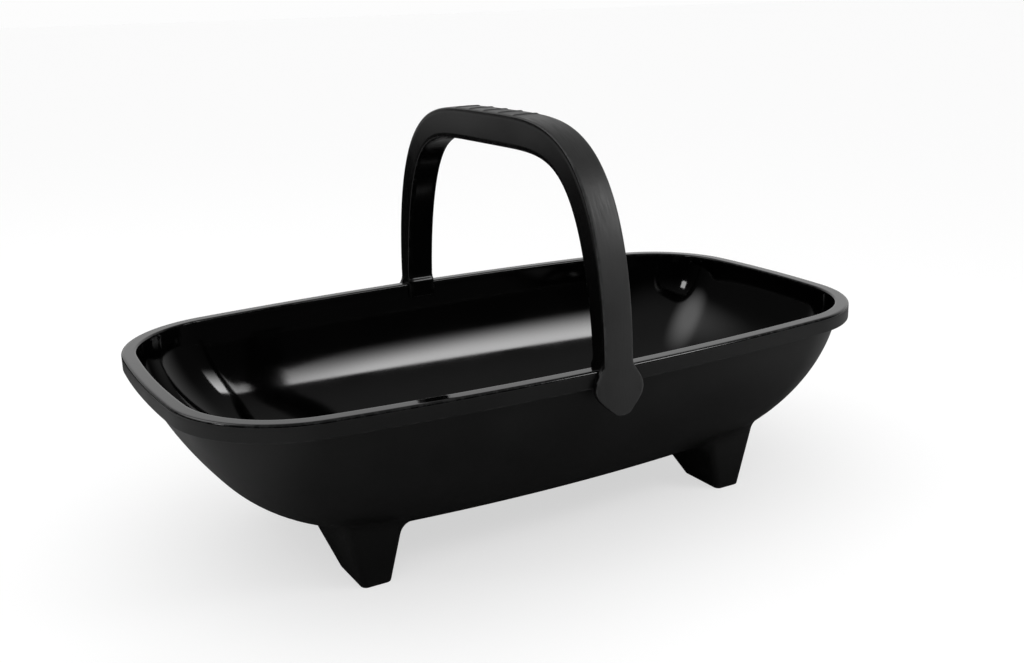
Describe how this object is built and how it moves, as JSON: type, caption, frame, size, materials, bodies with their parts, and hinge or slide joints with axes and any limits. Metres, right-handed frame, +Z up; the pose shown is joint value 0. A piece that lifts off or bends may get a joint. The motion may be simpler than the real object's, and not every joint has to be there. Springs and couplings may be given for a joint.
{
  "type": "garden trug",
  "caption": "Boat-shaped black plastic trug on moulded feet, with a turned-down rim and an arched carrying handle clipped over its long sides.",
  "frame": {"origin": "on the ground under the middle of the tub, at the centre of the feet", "axes": "+X along the tub, +Y across it in line with the handle, +Z up"},
  "size_m": [0.5998, 0.3588, 0.3311],
  "materials": {
    "tub_plastic": "black, glossy inside and satin outside",
    "handle_plastic": "black, satin"
  },
  "bodies": {
    "tub": {"tub": "tub_plastic"},
    "carry_handle": {"carry_handle": "handle_plastic"}
  },
  "joints": [
    {"name": "handle_unclip", "type": "slide", "parent": "tub", "child": "carry_handle", "axis": [0, 0, 1], "range_m": [0, 0.06]}
  ]
}
